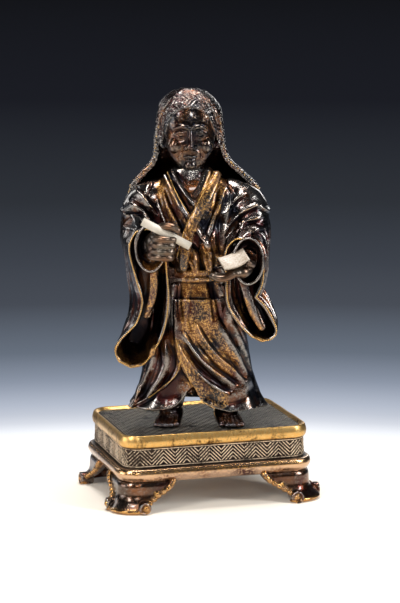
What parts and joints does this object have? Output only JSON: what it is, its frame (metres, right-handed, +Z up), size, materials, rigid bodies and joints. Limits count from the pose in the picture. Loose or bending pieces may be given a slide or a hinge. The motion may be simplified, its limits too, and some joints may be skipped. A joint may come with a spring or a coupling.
{
  "type": "bronze scholar figure on a footed stand",
  "caption": "Standing robed scholar with long hair, holding a rolled scroll and a folded sheet, on an oblong stand with splayed bracket feet.",
  "frame": {"origin": "under the middle of the stand, on the plane of its soles", "axes": "+Z up, the stand's long front towards -Y, +X to the right seen from the front"},
  "size_m": [0.1722, 0.1322, 0.3195],
  "materials": {
    "figure_bronze": "dark brown patina, rubbed gold on the edges",
    "stand_bronze": "dark brown patina with polished gold rim",
    "pale_scroll": "cream, satin",
    "pale_sheet": "cream, satin"
  },
  "bodies": {
    "root": {"figure": "figure_bronze", "stand": "stand_bronze", "scroll": "pale_scroll", "paper": "pale_sheet"}
  },
  "joints": []
}
